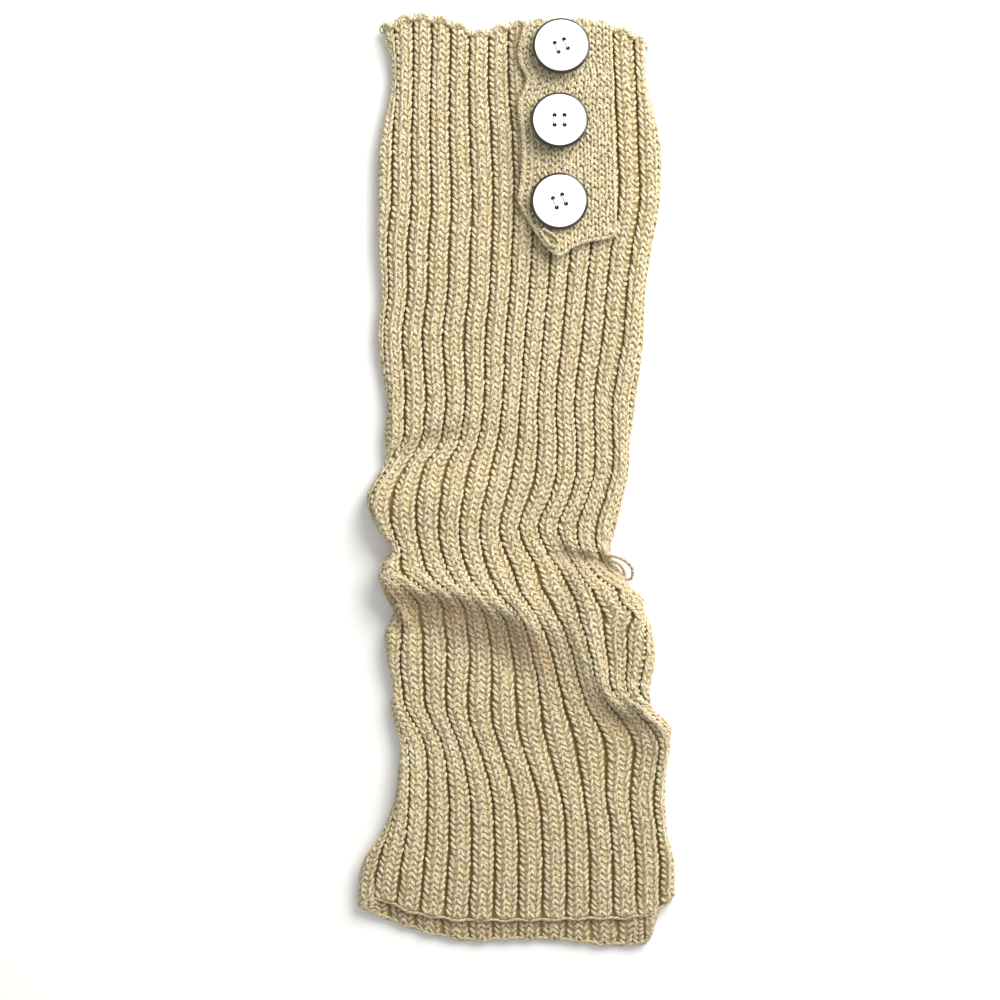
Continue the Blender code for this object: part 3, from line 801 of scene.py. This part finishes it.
def make_tab_stitches(panel, yarn):
    """The tab's stitches, all on the outside, with no ribs."""
    wales, rows = np.arange(TAB_WALES) + 0.5, np.arange(FIRST_ROW, TAB_ROWS + TAB_LAST_ROW)
    return make_strands("tab_stitches", *stitches(panel, wales, rows, TAB_WALE, relief=0.0), yarn)


def make_tab_edges(panel, yarn):
    """The cord down the tab's left side and along its foot, and the curl in its corner."""
    side, foot = ((0, 0), (0, TAB_ROWS)), ((0, TAB_ROWS), (TAB_WALES, TAB_ROWS))
    cords = (  # name, path, turns, height, size
        ("tab_side_cord", side, 26, -1.1, 0.75),
        ("tab_foot_cord", foot, 11, -0.8, 0.95),
        ("tab_corner_curl", TAB_CURL_PATH, 7, 1.0, 0.8),
    )
    return [make_strands(name, *edge_cord(panel, *cord), yarn) for name, *cord in cords]


# The buttons, with the same places as their solids.

BUTTON = 30.0  # diameter
BUTTON_RIM = 0.9  # radius of the underside, as a share of the button's
BUTTON_FACE = 2.2  # height of the middle of its face
HOLE_SPACING = 5.2
# Each button's x, its distance down, and how far it is turned and tilted, in degrees.
BUTTONS = ((23.5, 13.5, 22, 10), (22.6, 52.2, 0, 10), (22.6, 94.0, 22, 4))
THREAD = 0.32  # radius of the sewing thread
THREAD_STATIONS = 13  # points along each stitch of it
# The thread's height over the button's underside, and how far it has come up or down the face, at
# shares of its way from the middle of the face to its end.
THREAD_RISE = ((0, BUTTON_FACE + 0.45), (0.72, BUTTON_FACE + 0.3), (0.8, BUTTON_FACE - 0.4), (1, 0))
THREAD_REACH = ((0, 0), (0.8, HOLE_SPACING / 2 - 0.75), (1, HOLE_SPACING / 2 - 0.6))
PAINTED_SHADE_TOP = (1.2, 2.9)  # height below which the resin is drawn dark as painted shade, in the middle and at the rim
FACE_BEND = (9.0, 14.0)  # it changes between these distances from the middle


def button_frame(number):
    """The middle of a button's underside, its axis, and the two directions of its holes."""
    x, down, turn, tilt = BUTTONS[number - 1]
    lift = BUTTON_RIM * BUTTON / 2 * sin(radians(tilt))
    z = crown_height(np.array([x]), np.array([float(down)]))[0] + SEAM + TAB + SEAM + lift
    tilted = Euler((radians(-tilt), 0, radians(turn)), "ZYX").to_matrix()
    right, upper, axis = (np.array(tilted.col[k]) for k in range(3))
    return np.array([x, TOP_Y - down, z]), axis, (right, upper)


def make_threads(number, surface):
    """Two stitches of thread over a button's face, from the upper holes to the lower ones."""
    middle, axis, (right, upper) = button_frame(number)
    at = np.linspace(-1, 1, THREAD_STATIONS)
    rise = np.interp(np.abs(at), *np.array(THREAD_RISE).T)
    reach = np.interp(np.abs(at), *np.array(THREAD_REACH).T) * np.sign(at)
    path = middle + reach[:, None] * upper + rise[:, None] * axis
    centres = np.stack([path + side * HOLE_SPACING / 2 * right for side in (-1, 1)])
    radii = np.full(centres.shape[:2], THREAD)
    normals = np.broadcast_to(right, centres.shape)
    block = centres, normals, radii, np.zeros(len(centres))
    return make_strands(f"button_{number}_thread", *block, surface, sides=8, flat=1.0)


# Materials.

PLIES, PLY_TURN = 2, 4.4  # the yarn's plies, and the length of a turn, drawn twice as long as it is
# Sizes of the patterns. A fibre of yarn is far finer than this, and is drawn so coarse that it shows.
DYE_PATCH, TINT_PATCH = 11.7647, 16.6667
UNEVEN_YARN = 1.6129
YARN_FIBRE, PURL_FIBRE = 0.526316, 0.714286
THREAD_TURN, WAVE = 0.349066, tau / 20  # a wave pattern of scale 1 repeats after this length
RESIN_CLOUD = 8.33333
SHADED = 0.85  # how much of the painted shade's colour a strand of shade 1 has
PLY_RELIEF = 0.5  # the relief of the plies, as a share of the fibres'


def repeats(size):
    """How often a pattern of a size in millimetres repeats in a metre."""
    return 1 / (size * MM)


def linear(hex_colour):
    """An sRGB hex colour as linear red, green, blue and an alpha of 1."""
    parts = [int(hex_colour[i : i + 2], 16) / 255 for i in (1, 3, 5)]
    return (*(p / 12.92 if p <= 0.04045 else ((p + 0.055) / 1.055) ** 2.4 for p in parts), 1.0)


def add(tree, kind, settings=None, **inputs):
    """Adds a node. Each input takes a value, an output, or a node, for the first output that it offers.

    An input goes by its name, with _ for a space, or by at and its number.
    """
    made = tree.nodes.new("ShaderNode" + kind)
    for key, value in (settings or {}).items():
        setattr(made, key, value)
    for key, value in inputs.items():
        socket = made.inputs[int(key[2:]) if key[:2] == "at" else key.replace("_", " ")]
        if isinstance(value, bpy.types.Node):
            value = next(output for output in value.outputs if output.enabled)
        if isinstance(value, bpy.types.NodeSocket):
            tree.links.new(value, socket)
        else:
            socket.default_value = value
    return made


def new_material(name, **settings):
    """A material, with settings of its shader that go by their names, with _ for a space."""
    made = bpy.data.materials.new(name)
    made.use_nodes = True
    shader = made.node_tree.nodes["Principled BSDF"]
    for key, value in settings.items():
        shader.inputs[key.replace("_", " ")].default_value = value
    return made, made.node_tree, shader


def acrylic_yarn():
    """Brushed acrylic yarn of two loose plies: matt, uneven in hue, with painted shade between the
    plies.
    """
    made, tree, shader = new_material(
        "brushed acrylic yarn", Roughness=0.85, IOR=1.5, Specular_IOR_Level=0.2,
        Sheen_Weight=0.2, Sheen_Roughness=0.6, Sheen_Tint=linear("#FFF6E0"),
    )
    place = add(tree, "TexCoord").outputs["Object"]
    dye = add(tree, "TexNoise", Vector=place, Scale=repeats(DYE_PATCH), Detail=2.0)
    olive = add(tree, "MapRange", Value=dye, From_Min=0.5, From_Max=0.7)
    tint = add(
        tree, "TexNoise", {"noise_dimensions": "4D"}, Vector=place, W=3.0, Scale=repeats(TINT_PATCH)
    )
    pink = add(tree, "MapRange", Value=tint, From_Min=0.52, From_Max=0.72)
    uneven = add(tree, "TexNoise", Vector=place, Scale=repeats(UNEVEN_YARN), Detail=3.0, Roughness=0.75)
    dim = add(tree, "MapRange", Value=uneven, From_Min=0.43, From_Max=0.6)
    # painted shade: a strand's shade mixes its colour towards a darker, pinker brown
    shade = add(tree, "Attribute", {"attribute_name": "shade"})
    shaded = add(tree, "Math", {"operation": "MULTIPLY"}, at0=shade.outputs["Fac"], at1=SHADED)
    strand = add(tree, "UVMap", {"uv_map": "strand"})
    turn = add(tree, "VectorMath", {"operation": "DOT_PRODUCT"}, at0=strand)
    turn.inputs[1].default_value = (tau / (PLY_TURN * MM), tau * PLIES / MM, 0)
    ply = add(tree, "Math", {"operation": "SINE"}, at0=turn)
    # painted shade: the yarn is drawn darker in the gaps between its plies
    between = add(tree, "MapRange", Value=ply, From_Min=-0.4, From_Max=-1.0)
    tone = linear("#DAD1B6")
    # olive, pink and dim vary the dye at random; shaded and between are painted shade
    for share, hex_colour in (
        (olive, "#D1C9A3"), (pink, "#D8C5AB"), (dim, "#BFB089"),
        (shaded, "#A1866C"), (between, "#B0A07A"),
    ):
        tone = add(tree, "Mix", {"data_type": "RGBA"}, Factor=share, at6=tone, at7=linear(hex_colour))
    tree.links.new(tone.outputs["Result"], shader.inputs["Base Color"])
    fibres = add(tree, "TexNoise", Vector=place, Scale=repeats(YARN_FIBRE), Detail=2.0, Roughness=0.7)
    relief = add(tree, "Math", {"operation": "MULTIPLY_ADD"}, at0=ply, at1=PLY_RELIEF, at2=fibres)
    bump = add(tree, "Bump", Strength=0.85, Distance=0.4 * MM, Height=relief)
    tree.links.new(bump.outputs["Normal"], shader.inputs["Normal"])
    return made


def shaded_purl():
    """The same yarn on the far side of the knit, drawn darker as painted shade, since it lies in the
    stitches' shade.
    """
    made, tree, shader = new_material("purl side of the knit", Roughness=0.95)
    place = add(tree, "TexCoord").outputs["Object"]
    fibres = add(tree, "TexNoise", Vector=place, Scale=repeats(PURL_FIBRE), Detail=2.0)
    # both of its tones are darker than the yarn's: painted shade
    yarn = add(
        tree, "Mix", {"data_type": "RGBA"}, Factor=fibres, at6=linear("#B3A077"), at7=linear("#D0C097")
    )
    # painted shade: darker still in the hollows between the ribs
    hollow = add(tree, "Attribute", {"attribute_name": "hollow"})
    colour = add(
        tree, "Mix", {"data_type": "RGBA"}, Factor=hollow.outputs["Fac"], at6=yarn, at7=linear("#907642")
    )
    tree.links.new(colour.outputs["Result"], shader.inputs["Base Color"])
    return made


def button_resin(number):
    """Cast polyester resin, polished: white, with a sharp clear gloss.

    Near its underside, below a height that rises from the middle to the rim, it is drawn near-black as
    painted shade, for the shadow round its rim and in its holes. The rim is bevelled through that line.
    """
    made, tree, shader = new_material(f"polished resin of button {number}", IOR=1.54, Roughness=0.12)
    middle, axis, _ = button_frame(number)
    place = add(tree, "TexCoord").outputs["Object"]
    away = add(tree, "VectorMath", {"operation": "SUBTRACT"}, at0=place)
    away.inputs[1].default_value = middle * MM
    level = add(tree, "VectorMath", {"operation": "DOT_PRODUCT"}, at0=away)
    level.inputs[1].default_value = axis
    beside = add(tree, "VectorMath", {"operation": "LENGTH"}, at0=away)
    near, far = FACE_BEND
    edge = add(
        tree, "MapRange", Value=beside,
        From_Min=near * MM, From_Max=far * MM, To_Min=PAINTED_SHADE_TOP[0] * MM, To_Max=PAINTED_SHADE_TOP[1] * MM,
    )
    # painted shade: below that height the resin is drawn near-black, for the shadow round the rim and in
    # the holes
    back = add(tree, "Math", {"operation": "LESS_THAN"}, at0=level, at1=edge)
    cloud = add(tree, "TexNoise", Vector=place, Scale=repeats(RESIN_CLOUD), Detail=2.0)
    white = add(
        tree, "Mix", {"data_type": "RGBA"}, Factor=cloud, at6=linear("#EDEEEC"), at7=linear("#F6F7F6")
    )
    colour = add(tree, "Mix", {"data_type": "RGBA"}, Factor=back, at6=white, at7=linear("#2C2823"))
    tree.links.new(colour.outputs["Result"], shader.inputs["Base Color"])
    return made


def sewing_thread():
    """Spun polyester thread: off-white, matt, its fine twist drawn in stripes of painted shade."""
    made, tree, shader = new_material("off-white sewing thread", Roughness=0.7)
    strand = add(tree, "UVMap", {"uv_map": "strand"})
    # painted shade: the twist is drawn as darker stripes between its turns
    twist = add(tree, "TexWave", Vector=strand, Scale=repeats(THREAD_TURN) * WAVE)
    colour = add(
        tree, "Mix", {"data_type": "RGBA"},
        Factor=twist.outputs["Fac"], at6=linear("#C9C6BE"), at7=linear("#E6E4DE"),
    )
    tree.links.new(colour.outputs["Result"], shader.inputs["Base Color"])
    return made


# The view: straight down, as the photograph looks at it.
VIEW_CENTRE = (-8.35, -9.4)  # x and y under the middle of the picture
VIEW_WIDTH = 522.0
VIEW_LEVEL = 9.0  # the height at which the picture is that wide
CAMERA_HEIGHT = 2000.0

# The light, in metres and watts, and how bright the sky is.
LIGHT_PLACE, LIGHT_SIZE, LIGHT_POWER = (0.73, 0.81, 0.81), 1.1, 33.0
SKY = 0.635
FLOOR = 3.0  # the table reaches this far each way, in metres


def make_camera():
    data = bpy.data.cameras.new("camera")
    data.lens = data.sensor_width / VIEW_WIDTH * (CAMERA_HEIGHT - VIEW_LEVEL)
    camera = show("camera", data)
    camera.location = (VIEW_CENTRE[0] * MM, VIEW_CENTRE[1] * MM, CAMERA_HEIGHT * MM)
    bpy.context.scene.camera = camera


def make_studio():
    """A white table under one large soft light from the upper right, and an even white sky."""
    data = bpy.data.lights.new("key", "AREA")
    data.size, data.energy, data.color = LIGHT_SIZE, LIGHT_POWER, linear("#FFFDF8")[:3]
    light = show("key", data)
    light.location = LIGHT_PLACE
    light.rotation_euler = (-Vector(LIGHT_PLACE)).to_track_quat("-Z", "Y").to_euler()
    world = bpy.data.worlds.new("studio")
    world.use_nodes = True
    sky = world.node_tree.nodes["Background"].inputs
    sky["Color"].default_value, sky["Strength"].default_value = linear("#FFFFFF"), SKY
    bpy.context.scene.world = world
    bpy.context.scene.view_settings.view_transform = "Standard"
    mesh = bpy.data.meshes.new("floor")
    corners = [(x * FLOOR, y * FLOOR, 0) for x, y in ((-1, -1), (1, -1), (1, 1), (-1, 1))]
    mesh.from_pydata(corners, [], [(0, 1, 2, 3)])
    mesh.materials.append(new_material("white table", Roughness=0.7, Base_Color=linear("#F1F1F0"))[0])
    floor = show("floor", mesh)


def main():
    make_camera()
    make_studio()
    leg, tab = leg_panel(), tab_panel()
    yarn = acrylic_yarn()
    purl = shaded_purl()
    stitched = make_leg_stitches(leg, yarn) + make_leg_edges(leg, yarn)
    stitched += make_strip(strip_panel(), yarn, purl)
    stitched += [make_fuzz("leg_fuzz", leg, yarn, FIBRES, height=-0.6), *make_loose_yarn(yarn)]
    cloth = make_leg_cloth(leg, purl)
    tab_cloth = make_backing("tab_cloth", tab, purl, steps=(3, 2), depths=(1.5, 2.8))
    tab_stitched = [make_tab_stitches(tab, yarn), *make_tab_edges(tab, yarn)]
    tab_stitched.append(make_fuzz("tab_fuzz", tab, yarn, TAB_FIBRES, height=-0.3))
    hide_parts("leg_tube")
    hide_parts("button_tab")
    thread = sewing_thread()
    for number in (1, 2, 3):
        resin = button_resin(number)
        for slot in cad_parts[f"button_{number}"].material_slots:
            slot.material = resin
        make_threads(number, thread)


main()
